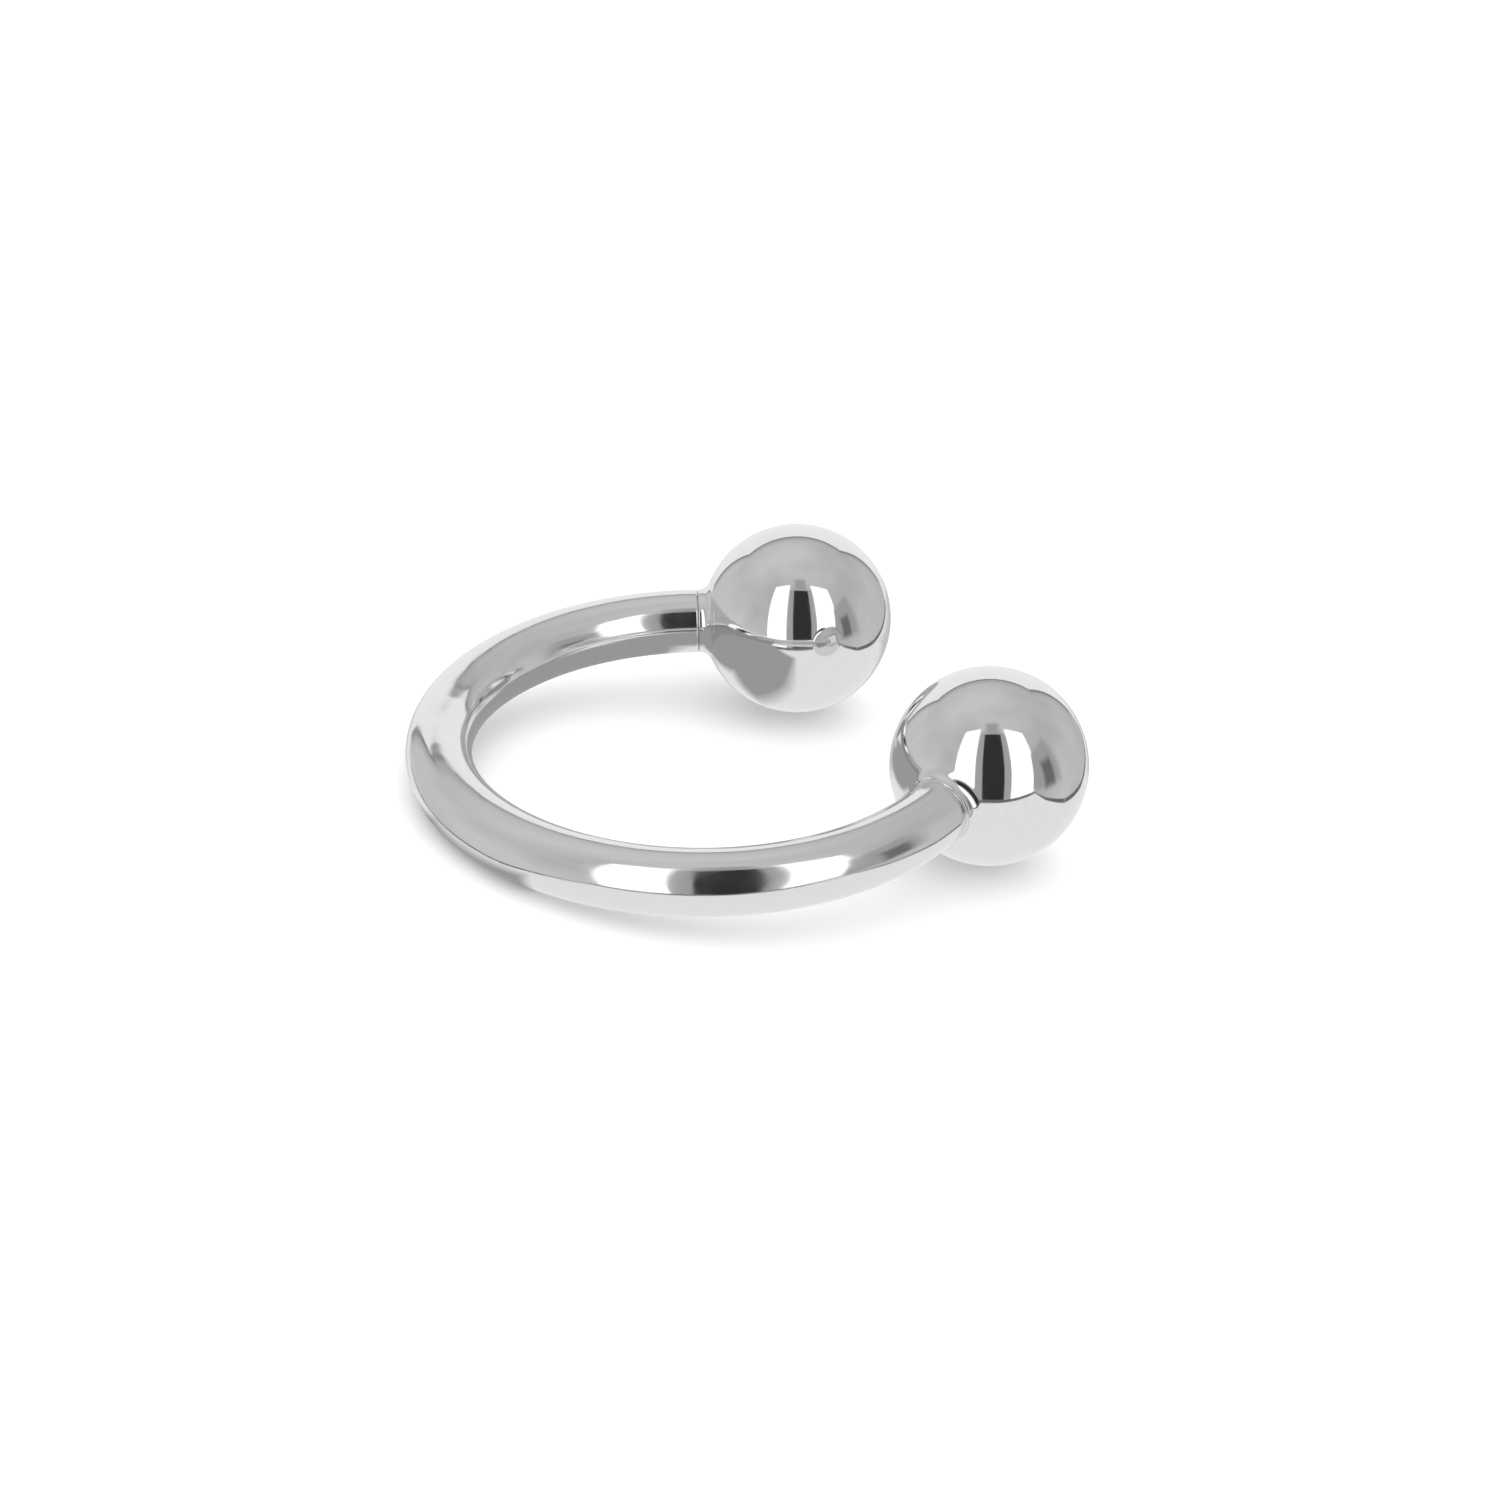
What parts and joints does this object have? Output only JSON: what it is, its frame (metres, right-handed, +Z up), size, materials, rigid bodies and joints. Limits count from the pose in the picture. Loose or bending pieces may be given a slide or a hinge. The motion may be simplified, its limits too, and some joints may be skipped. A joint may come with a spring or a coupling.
{
  "type": "circular barbell",
  "caption": "Open ring of polished round steel bar with a ball that unscrews from each end.",
  "frame": {"origin": "on the table, under the middle of the part's bounding box, as it lies on its two balls and the back of the bar", "axes": "+X towards the gap between the balls, +Z up from the table; the ring leans back by 7.8 degrees, with its gap side higher"},
  "size_m": [0.0186, 0.018, 0.006],
  "materials": {
    "bar_steel": "mirror-polished surgical steel with fine polishing marks along the bar",
    "ball_steel": "mirror-polished surgical steel",
    "stud_steel": "bright machined surgical steel"
  },
  "bodies": {
    "bar": {"bar": "bar_steel"},
    "left_stud": {"left_stud": "stud_steel"},
    "left_ball": {"left_ball": "ball_steel"},
    "right_stud": {"right_stud": "stud_steel"},
    "right_ball": {"right_ball": "ball_steel"}
  },
  "joints": [
    {"name": "left_stud_advance", "type": "slide", "parent": "bar", "child": "left_stud", "axis": [0.8763, -0.4664, 0.1204], "range_m": [0, 0.002]},
    {"name": "left_ball_turn", "type": "hinge", "parent": "left_stud", "child": "left_ball", "pos_m": [0.00628, 0.00551, 0.003], "axis": [0.8763, -0.4664, 0.1204], "range_deg": [0, 2880]},
    {"name": "right_stud_advance", "type": "slide", "parent": "bar", "child": "right_stud", "axis": [0.8763, 0.4664, 0.1204], "range_m": [0, 0.002]},
    {"name": "right_ball_turn", "type": "hinge", "parent": "right_stud", "child": "right_ball", "pos_m": [0.00628, -0.00551, 0.003], "axis": [0.8763, 0.4664, 0.1204], "range_deg": [0, 2880]}
  ],
  "couplings": [
    {"joint": "left_ball_turn", "follows": "left_stud_advance", "rad_per_m": 25133},
    {"joint": "right_ball_turn", "follows": "right_stud_advance", "rad_per_m": 25133}
  ]
}
